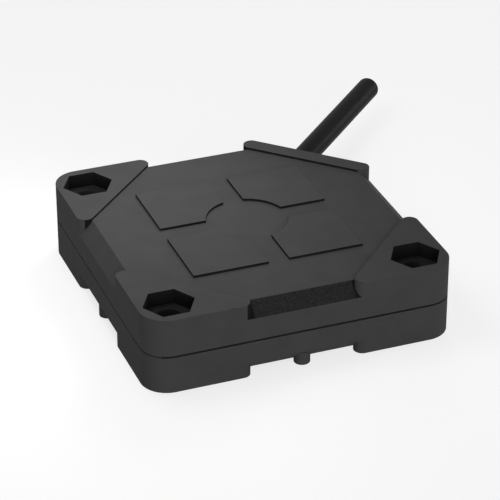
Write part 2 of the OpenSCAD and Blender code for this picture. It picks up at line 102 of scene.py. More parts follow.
CORE_TURNS = (60, 180, -60)
CORE_ORBIT = 0.62
CORE_LAND = -10
CORE_STOP = -11
SOLDER_PITCH = 1.6
GUIDE_ACROSS = -0.7
GUIDE_D = 1.8
GUIDE_BLOCK_W = 2.2
GUIDE_BLOCK_L = 2.4
LAMP_H = 0.7
TRIMMER_ACROSS = -4.4
TRIMMER_W = 3.6
TRIMMER_L = 3.6
TRIMMER_WALL = 0.4
BOARD_GAP = 0.3
SHAFT_D = 1.8
ROTOR_GAP = 0.06
SHAFT_RECESS = 0.3
SLOT_W = 0.4
SLOT_DEPTH = 0.3
SEAL_T = 0.26
SEAL_CLEARANCE = 0.01

HALF_W = BODY_W / 2
FACE_Z = BODY_H - PAD_H
CEILING_Z = FACE_Z - FRONT_WALL
FLOOR_Z = FOOT_H + REAR_WALL
BOARD_Z = FLOOR_Z + LEDGE_H
BOARD_TOP = BOARD_Z + BOARD_T
CHAMFER_SUM = BODY_W - CHAMFER_LEG
HOLE_PLACE = HALF_W - HOLE_INSET
HOLE_PLACES = ((-HOLE_PLACE, -HOLE_PLACE), (HOLE_PLACE, -HOLE_PLACE), (-HOLE_PLACE, HOLE_PLACE))
NUT_R = NUT_FLATS / 2 / math.cos(math.radians(30))
BOSS_LEG = 2 * HOLE_INSET + ROOT2 * (NUT_R * math.cos(math.radians(15)) + BOSS_WALL)
BEVEL_WALL = SIDE_WALL * ROOT2
PLATE_L = FRONT_BEVEL * ROOT2 - 2 * PLATE_MARGIN
RECESS_W = 2 * (HALF_W - PAD_LEG + PAD_TIP_R * (1 + ROOT2))

# The chamfered corner's own frame: OUT leaves the body, ALONG runs to the back left
OUT = Vector((1, 1, 0)).normalized()
ALONG = Vector((-1, 1, 0)).normalized()
UP = Vector((0, 0, 1))


def at_chamfer(out, across, up=0):
    """A point given from the middle of the chamfer face at the seam's height."""
    middle = Vector((CHAMFER_SUM / 2, CHAMFER_SUM / 2, SEAM_Z))
    return middle + OUT * out + ALONG * across + UP * up


# Camera: where the photograph was taken from. Angles are degrees, and the clip ends are metres
CAMERA_PLACE = Vector((-94.71, -251.0, 158.9))
CAMERA_AZIMUTH = -20.751
CAMERA_ELEVATION = 29.76
CAMERA_ROLL = -0.08
CAMERA_LENS = 175.19
SENSOR_WIDTH = 36
CLIP_START = 0.01
CLIP_END = 10


def make_camera():
    lens = bpy.data.cameras.new("camera")
    lens.sensor_width = SENSOR_WIDTH
    lens.lens = CAMERA_LENS
    lens.clip_start = CLIP_START
    lens.clip_end = CLIP_END
    camera = bpy.data.objects.new("camera", lens)
    bpy.context.scene.collection.objects.link(camera)
    tilt = math.radians(90 - CAMERA_ELEVATION)
    turn = Matrix.Rotation(math.radians(CAMERA_AZIMUTH), 4, "Z")
    turn @= Matrix.Rotation(tilt, 4, "X")
    turn @= Matrix.Rotation(math.radians(CAMERA_ROLL), 4, "Z")
    camera.matrix_world = Matrix.Translation(CAMERA_PLACE * MM) @ turn
    bpy.context.scene.camera = camera


make_camera()


# Surfaces: each is a Principled shader with patches of tone, uneven gloss and a fine relief.
# Most of a noise lies between the two levels
NOISE_LOW = 0.3
NOISE_HIGH = 0.7
PATCH_DETAIL = 2
GRAIN_DETAIL = 3


def add_node(tree, kind, **inputs):
    node = tree.nodes.new(kind)
    for name, value in inputs.items():
        node.inputs[name.replace("_", " ")].default_value = value
    return node


def noise(tree, size, detail):
    """Noise whose spots are about size millimetres across, fixed to the piece."""
    place = tree.nodes.new("ShaderNodeTexCoord")
    spots = add_node(tree, "ShaderNodeTexNoise", Scale=1 / (size * MM), Detail=detail)
    tree.links.new(place.outputs["Object"], spots.inputs["Vector"])
    return spots.outputs["Fac"]


def spread(tree, value, low, high):
    """Maps the middle of a noise onto low to high."""
    node = add_node(tree, "ShaderNodeMapRange", From_Min=NOISE_LOW, From_Max=NOISE_HIGH,
        To_Min=low, To_Max=high)
    tree.links.new(value, node.inputs["Value"])
    return node.outputs["Result"]


def tones(tree, value, dark, light):
    ramp = tree.nodes.new("ShaderNodeValToRGB")
    stops = zip(ramp.color_ramp.elements, (NOISE_LOW, NOISE_HIGH), (dark, light))
    for stop, position, colour in stops:
        stop.position = position
        stop.color = (*colour, 1)
    tree.links.new(value, ramp.inputs["Fac"])
    return ramp.outputs["Color"]


def relief(tree, value, height):
    bump = add_node(tree, "ShaderNodeBump", Strength=1, Distance=height * MM)
    tree.links.new(value, bump.inputs["Height"])
    return bump.outputs["Normal"]


def surface(name, dark, light, patch, gloss, grain, height, **sockets):
    """patch and grain are the noises' sizes, gloss the roughness's range, height the relief's."""
    material = bpy.data.materials.new(name)
    material.use_nodes = True
    tree = material.node_tree
    shader = tree.nodes["Principled BSDF"]
    for socket, value in sockets.items():
        shader.inputs[socket.replace("_", " ")].default_value = value
    patches = noise(tree, patch, PATCH_DETAIL)
    grains = noise(tree, grain, GRAIN_DETAIL)
    tree.links.new(tones(tree, patches, dark, light), shader.inputs["Base Color"])
    tree.links.new(spread(tree, grains, *gloss), shader.inputs["Roughness"])
    tree.links.new(relief(tree, grains, height), shader.inputs["Normal"])
    return material


def grey(value):
    return (value, value, value)


plastic = dict(patch=3, gloss=(0.7, 0.86), grain=0.16, height=0.008, Specular_IOR_Level=0.04)
shell_front = surface("shell_front", grey(0.063), grey(0.069), **plastic)
shell_rear = surface("shell_rear", grey(0.061), grey(0.067), **plastic)
# Painted shade: a near-black finish for the steps, the seam groove, the pocket walls and the
# tips' shaded sides
shell_painted_shade = surface("shell_painted_shade", grey(0.010), grey(0.013), **plastic)
# Painted shade, lighter: a finish for the pocket floors and the recess's left end
shell_painted_soft_shade = surface("shell_painted_soft_shade", grey(0.020), grey(0.024), **plastic)
plate_black = surface("plate_black", grey(0.012), grey(0.033), patch=0.16, gloss=(0.6, 0.85),
    grain=0.12, height=0.02, Specular_IOR_Level=0.05)
jacket = surface("jacket", grey(0.012), grey(0.019), patch=0.4, gloss=(0.36, 0.46), grain=0.2,
    height=0.006, Specular_IOR_Level=0.02)
jacket_cut = surface("jacket_cut", grey(0.03), grey(0.045), patch=0.3, gloss=(0.75, 0.9),
    grain=0.1, height=0.02, Specular_IOR_Level=0.1)
strands = surface("strands", (0.62, 0.30, 0.16), (0.80, 0.44, 0.26), patch=0.08, gloss=(0.3, 0.5),
    grain=0.05, height=0.02, Metallic=1.0)
grommet_rubber = surface("grommet_rubber", grey(0.020), grey(0.028), patch=1, gloss=(0.6, 0.75),
    grain=0.12, height=0.006, Specular_IOR_Level=0.15)
seal_rubber = surface("seal_rubber", grey(0.012), grey(0.018), patch=0.5, gloss=(0.4, 0.55),
    grain=0.08, height=0.004, Specular_IOR_Level=0.3)
brass = surface("brass", (0.55, 0.39, 0.15), (0.68, 0.50, 0.21), patch=0.6, gloss=(0.22, 0.36),
    grain=0.06, height=0.004, Metallic=1.0)
copper = surface("copper", (0.60, 0.27, 0.14), (0.75, 0.38, 0.22), patch=1.2, gloss=(0.28, 0.45),
    grain=0.1, height=0.004, Metallic=1.0)
clear = surface("clear", (0.80, 0.80, 0.74), (0.88, 0.88, 0.82), patch=1, gloss=(0.08, 0.2),
    grain=0.3, height=0.003, Transmission_Weight=0.85, IOR=1.49)
tin = surface("tin", grey(0.55), grey(0.72), patch=0.4, gloss=(0.25, 0.45), grain=0.08,
    height=0.006, Metallic=1.0)
nickel = surface("nickel", (0.52, 0.51, 0.48), (0.64, 0.63, 0.60), patch=0.8, gloss=(0.25, 0.4),
    grain=0.05, height=0.005, Metallic=1.0)
gold = surface("gold", (0.72, 0.55, 0.24), (0.82, 0.65, 0.32), patch=0.4, gloss=(0.2, 0.32),
    grain=0.08, height=0.003, Metallic=1.0)
mask_green = surface("mask_green", (0.008, 0.085, 0.032), (0.014, 0.125, 0.05), patch=1.4,
    gloss=(0.25, 0.4), grain=0.35, height=0.01)
resin = surface("resin", grey(0.010), grey(0.016), patch=4, gloss=(0.15, 0.3), grain=1.2,
    height=0.03)
epoxy = surface("epoxy", grey(0.020), grey(0.028), patch=0.5, gloss=(0.55, 0.75), grain=0.07,
    height=0.008)
header_black = surface("header_black", grey(0.014), grey(0.020), patch=0.8, gloss=(0.4, 0.55),
    grain=0.1, height=0.004)
ceramic = surface("ceramic", (0.36, 0.25, 0.14), (0.48, 0.35, 0.21), patch=0.25, gloss=(0.5, 0.7),
    grain=0.08, height=0.008)
glaze = surface("glaze", grey(0.014), grey(0.024), patch=0.3, gloss=(0.2, 0.35), grain=0.12,
    height=0.004)
lamp_yellow = surface("lamp_yellow", (0.70, 0.52, 0.08), (0.82, 0.66, 0.14), patch=0.3,
    gloss=(0.3, 0.45), grain=0.08, height=0.004)
case_blue = surface("case_blue", (0.030, 0.095, 0.31), (0.045, 0.125, 0.38), patch=0.8,
    gloss=(0.45, 0.6), grain=0.1, height=0.005)


def insulation(name, dark, light):
    return surface(name, dark, light, patch=0.8, gloss=(0.35, 0.5), grain=0.1, height=0.004)


core_finishes = {
    "core_brown": insulation("core_brown", (0.13, 0.055, 0.02), (0.19, 0.085, 0.035)),
    "core_black": insulation("core_black", grey(0.016), grey(0.024)),
    "core_blue": insulation("core_blue", (0.02, 0.075, 0.30), (0.035, 0.11, 0.40))}


# Solids in millimetres, which become pieces in metres when they are finished
ARC_STEP = math.radians(6)
ROUND_STEPS = 3
ROUND_SIDES = 64
SMALL_SIDES = 24
WIRE_SIDES = 12
SWEEP_STEPS = 5
BEYOND = 1.0
WELD = 0.0005
FLAT_ANGLE = math.radians(0.2)
SHARP_ANGLE = math.radians(32)
SHADING_WEIGHT = 90


def circle(radius, sides=ROUND_SIDES):
    turns = [2 * math.pi * i / sides for i in range(sides)]
    return [Vector((math.cos(a), math.sin(a))) * radius for a in turns]


def corner_arc(before, corner, after, radius):
    """The points that round off a corner, or the corner itself where the radius is 0."""
    if radius <= 0:
        return [corner]
    back = (before - corner).normalized()
    ahead = (after - corner).normalized()
    half = back.angle(ahead) / 2
    centre = corner + (back + ahead).normalized() * (radius / math.sin(half))
    first = corner + back * (radius / math.tan(half)) - centre
    turn = math.pi - 2 * half
    if back.x * ahead.y - back.y * ahead.x > 0:
        turn = -turn
    count = max(1, math.ceil(abs(turn) / ARC_STEP - HAIR))
    return [centre + Matrix.Rotation(turn * i / count, 2) @ first for i in range(count + 1)]


def rounded_outline(corners, radii):
    corners = [Vector(c) for c in corners]
    points = []
    for i, radius in enumerate(radii):
        points += corner_arc(corners[i - 1], corners[i], corners[(i + 1) % len(corners)], radius)
    return points


def rounded_profile(corners, radii):
    """An open line whose inner corners are rounded."""
    corners = [Vector(c) for c in corners]
    points = [corners[0]]
    for before, corner, after, radius in zip(corners, corners[1:], corners[2:], radii):
        points += corner_arc(before, corner, after, radius)
    return points + [corners[-1]]


def drawn_in(corners, inset):
    """A convex outline's corners with every side moved inwards."""
    corners = [Vector(c) for c in corners]
    result = []
    for i, corner in enumerate(corners):
        ahead = (corners[(i + 1) % len(corners)] - corner).normalized()
        behind = (corner - corners[i - 1]).normalized()
        inward = Vector((-ahead.y - behind.y, ahead.x + behind.x))
        result.append(corner + inward * (inset / (1 + ahead.dot(behind))))
    return result


def quarter_turned(points, turns):
    """Points turned by whole quarter turns, without rounding errors."""
    points = [Vector(p) for p in points]
    for _ in range(turns):
        points = [Vector((-p.y, p.x)) for p in points]
    return points


def edge_round(radius):
    """Steps over a rounded edge: how far below the end, and how far drawn in."""
    turns = [QUARTER * i / ROUND_STEPS for i in range(ROUND_STEPS + 1)]
    return [(radius * (1 - math.sin(a)), radius * (1 - math.cos(a))) for a in turns]


def solid(bm):
    """Links a bmesh as a plain solid."""
    bmesh.ops.recalc_face_normals(bm, faces=bm.faces)
    mesh = bpy.data.meshes.new("solid")
    bm.to_mesh(mesh)
    bm.free()
    piece = bpy.data.objects.new("solid", mesh)
    bpy.context.scene.collection.objects.link(piece)
    return piece


def skinned(rings, closed=False):
    """A solid through rings of 3D points; closed joins the last ring to the first."""
    bm = bmesh.new()
    loops = [[bm.verts.new(p) for p in points] for points in rings]
    pairs = list(zip(loops, loops[1:])) + ([(loops[-1], loops[0])] if closed else [])
    count = len(loops[0])
    for low, high in pairs:
        for i in range(count):
            j = (i + 1) % count
            bm.faces.new((low[i], low[j], high[j], high[i]))
    if not closed:
        bm.faces.new(loops[0][::-1])
        bm.faces.new(loops[-1])
    return solid(bm)


def loft(rings):
    """A solid through outlines given as (height, points)."""
    return skinned([[(p[0], p[1], z) for p in points] for z, points in rings])


def prism(outline, low, high):
    return loft([(low, outline), (high, outline)])


def turned(profile, sides=ROUND_SIDES, closed=False):
    """A turned solid about the z axis from (height, radius) points."""
    return skinned([[(p.x, p.y, z) for p in circle(r, sides)] for z, r in profile], closed)


def rounded_prism(outline_at, start, end, rounding):
    """A prism whose edge at end is rounded; outline_at gives its outline drawn in."""
    way = 1 if end > start else -1
    rings = [(start, outline_at(0))]
    rings += [(end - way * below, outline_at(inset)) for below, inset in edge_round(rounding)]
    return loft(rings)


def swept(path, radius, sides=SMALL_SIDES):
    """A tube along a smooth path through the given points."""
    line = []
    for i in range(len(path) - 1):
        a, b, c, d = (path[min(max(k, 0), len(path) - 1)] for k in range(i - 1, i + 3))
        for t in (k / SWEEP_STEPS for k in range(SWEEP_STEPS)):
            line.append(0.5 * (2 * b + (c - a) * t + (2 * a - 5 * b + 4 * c - d) * t ** 2
                + (3 * b - a - 3 * c + d) * t ** 3))
    line.append(path[-1])
    rings = []
    for i, point in enumerate(line):
        ahead = (line[min(i + 1, len(line) - 1)] - line[max(i - 1, 0)]).normalized()
        side = UP.cross(ahead).normalized()
        over = ahead.cross(side)
        rings.append([point + side * p.x + over * p.y for p in circle(radius, sides)])
    return skinned(rings)


def moved(piece, matrix):
    piece.data.transform(matrix)
    return piece


def settled(piece):
    """Applies a solid's modifiers."""
    view = bpy.context.evaluated_depsgraph_get()
    mesh = bpy.data.meshes.new_from_object(piece.evaluated_get(view))
    piece.modifiers.clear()
    piece.data = mesh
    return piece


def combined(piece, how, others):
    for other in others:
        change = piece.modifiers.new("combine", "BOOLEAN")
        change.operation = how
        change.solver = "EXACT"
        change.object = other
    settled(piece)
    for other in others:
        bpy.data.objects.remove(other)
    return piece


def grouped(solids):
    """Several solids that don't touch, as one."""
    bm = bmesh.new()
    for one in solids:
        bm.from_mesh(one.data)
        bpy.data.objects.remove(one)
    return solid(bm)


def finished(name, piece, materials, rule=None, body=HOUSING, instead=()):
    """Makes a solid a piece with whole flat faces, a finish for each face and clean shading.

    rule gives a face's place in materials from its middle, its normal and its lowest height.
    """
    bm = bmesh.new()
    bm.from_mesh(piece.data)
    bmesh.ops.remove_doubles(bm, verts=bm.verts, dist=WELD)
    bmesh.ops.dissolve_degenerate(bm, edges=bm.edges, dist=WELD)
    bmesh.ops.dissolve_limit(bm, angle_limit=FLAT_ANGLE, verts=bm.verts, edges=bm.edges)
    for face in bm.faces:
        face.smooth = True
        low = min(v.co.z for v in face.verts)
        face.material_index = rule(face.calc_center_median(), face.normal, low) if rule else 0
    bm.to_mesh(piece.data)
    bm.free()
    piece.data.set_sharp_from_angle(angle=SHARP_ANGLE)
    shading = piece.modifiers.new("shading", "WEIGHTED_NORMAL")
    shading.keep_sharp = True
    shading.weight = SHADING_WEIGHT
    mesh = settled(piece).data
    bpy.data.objects.remove(piece)
    mesh.transform(Matrix.Scale(MM, 4))
    mesh.name = name
    for material in materials:
        mesh.materials.append(material)
    piece = bpy.data.objects.new(name, mesh)
    bpy.context.scene.collection.objects.link(piece)
    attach(piece, body)
    if instead:
        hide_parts(*instead)
    return piece


def chamfer_frame(across, up=0):
    """Turns a solid made along z so that it points out of the chamfer, from its face."""
    turn = Matrix.Rotation(math.radians(45), 4, "Z") @ Matrix.Rotation(QUARTER, 4, "Y")
    return Matrix.Translation(at_chamfer(0, across, up)) @ turn


# Cable: a straight stretch out of the chamfer, cut square at its far end
CABLE_STEPS = 16
CUT_ROUND = 0.15
CUT_DEPTH = 0.6
CUT_BORE = 1.12
CORE_SHORT = 0.05
CORE_ROUND = 0.05
CORE_DISH = 0.15
WIRE_COUNT = 6
WIRE_ORBIT = 2.05
WIRE_PROUD = 0.03
WIRE_ROUND = 0.02


def rounded_end(radius, end, rounding):
    """Profile points over the rounded edge at the far end of a turned solid."""
    return [(end - below, radius - inset) for below, inset in edge_round(rounding)]


def make_jacket():
    r = CABLE_D / 2
    end = CABLE_LENGTH
    profile = [(end * i / CABLE_STEPS, r) for i in range(CABLE_STEPS)]
    profile += rounded_end(r, end, CUT_ROUND) + [(end, CUT_BORE), (end - CUT_DEPTH, CUT_BORE)]

    def rule(centre, normal, low):
        place = centre - at_chamfer(end, CABLE_ACROSS)
        out = place.dot(OUT)
        side = (place - OUT * out).length
        return 1 if out > -CUT_DEPTH - HAIR and side < r - CUT_ROUND else 0

    tube = moved(turned(profile), chamfer_frame(CABLE_ACROSS))
    return finished("cable_jacket", tube, [jacket, jacket_cut], rule,
        instead=["cable"])


def make_cut_cores():
    """The cores in the cut end, and their copper strands, one in the middle of a ring."""
    pieces = []
    start = CABLE_LENGTH - CUT_DEPTH
    end = CABLE_LENGTH - CORE_SHORT
    hole = CONDUCTOR_D / 2
    wire_r = hole / 3
    for (name, finish), degrees in zip(core_finishes.items(), CORE_TURNS):
        a = math.radians(degrees)
        place = chamfer_frame(CABLE_ACROSS) @ Matrix.Translation((-CORE_ORBIT * math.cos(a),
            -CORE_ORBIT * math.sin(a), 0))
        profile = [(start, CORE_D / 2)] + rounded_end(CORE_D / 2, end, CORE_ROUND)
        profile += [(end, hole + WIRE_ROUND), (end - CORE_DISH, hole)]
        core = moved(turned(profile, SMALL_SIDES), place)
        pieces.append(finished("cut_" + name, core, [finish]))
        wires = []
        for k in range(WIRE_COUNT + 1):
            turn = 2 * math.pi * k / WIRE_COUNT
            orbit = WIRE_ORBIT * wire_r if k < WIRE_COUNT else 0
            tip = rounded_end(wire_r, end + WIRE_PROUD, WIRE_ROUND)
            wire = turned([(start, wire_r)] + tip, WIRE_SIDES)
            spot = Matrix.Translation((orbit * math.cos(turn), orbit * math.sin(turn), 0))
            wires.append(moved(wire, place @ spot))
        pieces.append(finished("wires_" + name, grouped(wires), [strands]))
    return pieces


cable_piece = make_jacket()
cut_pieces = make_cut_cores()
cable_route = [at_chamfer(CABLE_LENGTH * i / CABLE_STEPS, CABLE_ACROSS) * MM
    for i in range(CABLE_STEPS + 1)]
tuple(cable_route[0])
[tuple(p) for p in cable_route]


# Shells
PAD_ROUND = 0.035
FOOT_ROUND = 0.08
BEVEL_ROUND = 0.2
LIP_ROUND = 0.05
RIM_ROUND = 0.04
PLATE_ROUND = 0.03
PLATE_CORNER_R = 0.1
MARK_STEPS = 16
BODY_RADII = (CORNER_R, CORNER_R, CHAMFER_END_R, CHAMFER_END_R, CORNER_R)
ROTOR_HOLE_D = SHAFT_D + 2 * ROTOR_GAP
ON_BEVEL = Matrix.Translation((0, -HALF_W + FRONT_BEVEL / 2, FACE_Z - FRONT_BEVEL / 2))
ON_BEVEL @= Matrix.Rotation(math.radians(45), 4, "X")


def body_outline(inset, draw_radii=True):
    h = HALF_W - inset
    far = CHAMFER_SUM - inset * ROOT2 - h
    less = inset if draw_radii else min(inset, SEAM_GROOVE_DEPTH)
    return rounded_outline([(-h, -h), (h, -h), (h, far), (far, h), (-h, h)],
        [r - less for r in BODY_RADII])


def body_solid(profile):
    """The body through (inset, height) points; where its sides draw in, so does the chamfer."""
    return loft([(height, body_outline(inset, False)) for inset, height in profile])


def raised_areas(start, end, rounding):
    """The three corner pads and the bar, a fourth pad that the chamfer cuts."""
    def pad_at(turns):
        tip = -HALF_W + PAD_LEG
        corners = quarter_turned([(-HALF_W, -HALF_W), (tip, -HALF_W), (-HALF_W, tip)], turns)
        radii = (CORNER_R, PAD_TIP_R, PAD_TIP_R)
        return lambda inset: rounded_outline(drawn_in(corners, inset), [r - inset for r in radii])

    def bar_at(inset):
        near = CHAMFER_SUM - BAR_W * ROOT2 - HALF_W
        corners = [(HALF_W, near), (HALF_W, HALF_W), (near, HALF_W)]
        radii = (PAD_TIP_R, CORNER_R, PAD_TIP_R)
        return rounded_outline(drawn_in(corners, inset), [r - inset for r in radii])

    pads = [rounded_prism(pad_at(turns), start, end, rounding) for turns in (0, 1, 3)]
    body = rounded_prism(body_outline, start, end, rounding)
    bar = combined(rounded_prism(bar_at, start, end, rounding), "INTERSECT", [body])
    return pads + [bar]


def octagon(half, grow=0):
    """The hollow's outline, grown, with its four main sides at half."""
    near = BODY_W - BOSS_LEG + grow * ROOT2 - half
    gate = CHAMFER_SUM + (grow - SIDE_WALL) * ROOT2 - half
    corners = [(-half, -near), (-near, -half), (near, -half), (half, -near), (half, gate),
        (gate, half), (-near, half), (-half, near)]
    return rounded_outline(corners, [HOLLOW_R] * len(corners))


def hollow(grow=0):
    return octagon(HALF_W - SIDE_WALL + grow, grow)


def chamfer_holes():
    holes = ((GROMMET_D, CABLE_ACROSS), (GUIDE_D, GUIDE_ACROSS), (ROTOR_HOLE_D, TRIMMER_ACROSS))
    return [moved(prism(circle(d / 2), -SIDE_WALL - BEYOND, BEYOND), chamfer_frame(across))
        for d, across in holes]


def screw_hole():
    return prism(circle(HOLE_D / 2), -BEYOND, BODY_H + BEYOND)


def nut_pocket():
    """A hexagonal pocket whose rim is slightly rounded."""
    rings = [(BODY_H - NUT_DEPTH, circle(NUT_R, 6))]
    rings += [(BODY_H - below, circle(NUT_R + grow, 6)) for below, grow in edge_round(RIM_ROUND)]
    rings.append((BODY_H + BEYOND, circle(NUT_R + BEYOND, 6)))
    return loft(rings)


def at_holes(make):
    return [moved(make(), Matrix.Translation((x, y, 0))) for x, y in HOLE_PLACES]


def mark_plate(turns):
    """One of the four mark plates, a square with an arc cut out of its inner corner."""
    def outline_at(inset):
        near = MARK_GAP / 2 + inset
        far = MARK_REACH - inset
        r = MARK_HOLE_R + inset
        first = math.asin(near / r)
        arc = [QUARTER - first - (QUARTER - 2 * first) * i / MARK_STEPS
            for i in range(MARK_STEPS + 1)]
        points = [(far, near), (far, far), (near, far)]
        return quarter_turned(points + [(r * math.cos(a), r * math.sin(a)) for a in arc], turns)
    return rounded_prism(outline_at, FACE_Z - PAD_H, BODY_H, PAD_ROUND)


def plate_outline(inset):
    w, l = PLATE_W / 2, PLATE_L / 2
    corners = drawn_in([(-w, -l), (w, -l), (w, l), (-w, l)], inset)
    return rounded_outline(corners, [PLATE_CORNER_R - inset] * 4)


def front_solid():
    groove = SEAM_Z + SEAM_GROOVE_H / 2
    bevel = FACE_Z - FRONT_BEVEL
    profile = rounded_profile([(SEAM_GROOVE_DEPTH, SEAM_Z), (SEAM_GROOVE_DEPTH, groove),
        (0, groove), (0, bevel), (FRONT_BEVEL, FACE_Z), (HALF_W, FACE_Z)],
        (0, LIP_ROUND, BEVEL_ROUND, BEVEL_ROUND))
    shell = body_solid(profile[:-1])
    w, l = RECESS_W / 2, PLATE_L / 2
    recess = prism([(-w, -l), (w, -l), (w, l), (-w, l)], -PLATE_RECESS, PLATE_RECESS)
    combined(shell, "DIFFERENCE", [moved(recess, ON_BEVEL)])
    marks = [mark_plate(turns) for turns in range(4)]
    combined(shell, "UNION", raised_areas(SEAM_Z + BEYOND, BODY_H, PAD_ROUND) + marks)
    bend = bevel - BEVEL_WALL + SIDE_WALL
    top_half = HALF_W - SIDE_WALL - (CEILING_Z - bend)
    cavity = loft([(SEAM_Z - BEYOND, hollow()), (bend, hollow()), (CEILING_Z, octagon(top_half))])
    joint = prism(hollow(TONGUE_T + TONGUE_GAP), SEAM_Z - BEYOND, SEAM_Z + TONGUE_H + TONGUE_GAP)
    tools = [cavity, joint] + chamfer_holes() + at_holes(screw_hole) + at_holes(nut_pocket)
    return combined(shell, "DIFFERENCE", tools)


def rear_solid():
    groove = SEAM_Z - SEAM_GROOVE_H / 2
    profile = rounded_profile([(HALF_W, FOOT_H), (REAR_BEVEL, FOOT_H), (0, FOOT_H + REAR_BEVEL),
        (0, groove), (SEAM_GROOVE_DEPTH, groove), (SEAM_GROOVE_DEPTH, SEAM_Z)],
        (BEVEL_ROUND, BEVEL_ROUND, LIP_ROUND, 0))
    shell = body_solid(profile[1:])
    foot = [(below, PEG_D / 2 - inset) for below, inset in edge_round(FOOT_ROUND)]
    pegs = []
    for turns in range(4):
        spot = quarter_turned([(0, PEG_INSET - HALF_W)], turns)[0]
        peg = turned(foot[::-1] + [(FLOOR_Z, PEG_D / 2)])
        pegs.append(moved(peg, Matrix.Translation((spot.x, spot.y, 0))))
    tongue = prism(hollow(TONGUE_T), SEAM_Z - BEYOND, SEAM_Z + TONGUE_H)
    combined(shell, "UNION", raised_areas(SEAM_Z - BEYOND, 0, FOOT_ROUND) + pegs + [tongue])
    start_half = HALF_W - (FOOT_H + REAR_BEVEL + BEVEL_WALL - BOARD_Z)
    bend = BOARD_Z + HALF_W - SIDE_WALL - start_half
    low = prism(hollow(-LEDGE_W), FLOOR_Z, BOARD_Z + TONGUE_GAP)
    high = loft([(BOARD_Z, octagon(start_half)), (bend, hollow()), (BODY_H, hollow())])
    return combined(shell, "DIFFERENCE", [low, high] + chamfer_holes() + at_holes(screw_hole))


# Which faces of the shells get painted shade. SEAM_REACH is how far in the groove's faces lie,
# the margins keep the rounds along the outline plain, and the last three are limits for a normal
SEAM_REACH = 0.25
SIDE_MARGIN = 0.03
RIM_MARGIN = 0.05
TIP_MARGIN = 0.08
LEVEL = 0.75
UPRIGHT = 0.5
TO_LEFT = -0.3


def depth(p):
    """How far a point lies inside the body's outline."""
    side = HALF_W - max(abs(p.x), abs(p.y))
    corner = Vector((abs(p.x), abs(p.y))) - Vector((1, 1)) * (HALF_W - CORNER_R)
    if min(corner) > 0:
        side = CORNER_R - corner.length
    return min(side, (CHAMFER_SUM - p.x - p.y) / ROOT2)


def in_seam(centre):
    level = abs(centre.z - SEAM_Z) < SEAM_GROOVE_H / 2 + LIP_ROUND / 2
    return level and depth(centre) < SEAM_REACH and centre.x > CORNER_R / 2 - HALF_W


def in_recess(centre):
    place = ON_BEVEL.inverted() @ centre
    inside = abs(place.x) < RECESS_W / 2 and abs(place.y) < PLATE_L / 2 + HAIR
    return inside and -PLATE_RECESS - HAIR < place.z < -HAIR


def front_rule(centre, normal, low):
    """Picks each face's painted shade: 0 for none, 1 for dark painted shade, 2 for lighter
    painted shade.

    Dark painted shade goes on the seam groove, the recess's right end, the walls of the pockets,
    the steps on the face, and on the bevel the shaded sides of the tips. Lighter painted shade
    goes on the recess's left end and the floors of the pockets.
    """
    # Painted shade in the seam groove
    if in_seam(centre):
        return 1
    if in_recess(centre):
        # Painted shade in the recess: dark at its right end, lighter at its left end
        return 1 if centre.x > 0 else 2
    in_pocket = any((centre.xy - Vector(place)).length < NUT_R for place in HOLE_PLACES)
    if in_pocket and BODY_H - NUT_DEPTH - HAIR < centre.z < BODY_H - RIM_ROUND:
        # Painted shade in the pockets: dark walls, lighter floors
        return 2 if abs(normal.z) > LEVEL else 1
    margin = SIDE_MARGIN if centre.z < BODY_H - PAD_ROUND else RIM_MARGIN + PAD_ROUND
    if depth(centre) < margin or abs(normal.z) > LEVEL:
        return 0
    # Painted shade on the steps' risers around the pads, the bar and the marks
    if low > FACE_Z - HAIR:
        return 1
    # Painted shade on the tips' sides that face away from the light, down the bevel
    on_bevel = low > FACE_Z - FRONT_BEVEL - HAIR and depth(centre) > TIP_MARGIN
    on_bar = min(centre.xy) > 0
    in_shade = centre.x < centre.y if on_bar else normal.x > TO_LEFT
    return 1 if on_bevel and abs(normal.z) < UPRIGHT and in_shade else 0


# Painted shade in the rear shell's seam groove
def rear_rule(centre, normal, low):
    return 1 if in_seam(centre) else 0


# The shells carry painted shade in their grooves, steps and pockets, chosen face by face by the
# rules above
finished("front_shell_skin", front_solid(),
    [shell_front, shell_painted_shade, shell_painted_soft_shade], front_rule, instead=["front_shell"])
finished("rear_shell_skin", rear_solid(), [shell_rear, shell_painted_shade], rear_rule,
    instead=["rear_shell"])
bare_plate = rounded_prism(plate_outline, -PLATE_RECESS, PLATE_T - PLATE_RECESS, PLATE_ROUND)
finished("bare_plate", moved(bare_plate, ON_BEVEL), [plate_black],
    instead=["type_plate"])


# What the chamfer face shows: grommet, light window, adjuster and its seal
GROMMET_ROUND = 0.12
MOUTH_GAP = 0.12
MOUTH_DEPTH = 0.35
MOUTH_EDGE = ((0, 0.1), (-0.03, 0.03), (-0.1, 0))
LENS_RISE = 0.12
LENS_STEPS = 6
LENS_EDGE = 0.08
LENS_SINK = 0.001
GUIDE_SLOPE_LIP = 0.2
GUIDE_CORNER_R = 0.08
DRUM_ROUND = 0.08
DRUM_EDGE = 0.1
SHAFT_ROUND = 0.1
SEAL_PLACE = -(SIDE_WALL + SHAFT_RECESS) / 2
SEAL_ORBIT = SHAFT_D / 2 + ROTOR_GAP - SEAL_CLEARANCE - SEAL_T / 2


def make_grommet():
    """A neck and a flange with a rounded rim, and a small step around the cable."""
    r = GROMMET_D / 2
    bore = CABLE_D / 2
    profile = [(-SIDE_WALL - FLANGE_T, bore), (-SIDE_WALL - FLANGE_T, FLANGE_D / 2),
        (-SIDE_WALL, FLANGE_D / 2), (-SIDE_WALL, r)]
    profile += rounded_end(r, 0, GROMMET_ROUND)
    mouth = bore + MOUTH_GAP
    profile += [(end, mouth + grow) for end, grow in MOUTH_EDGE]
    profile += [(-MOUTH_DEPTH, mouth), (-MOUTH_DEPTH, bore)]
    ring = moved(turned(profile, closed=True), chamfer_frame(CABLE_ACROSS))
    finished("grommet", ring, [grommet_rubber], instead=["cable_grommet"])


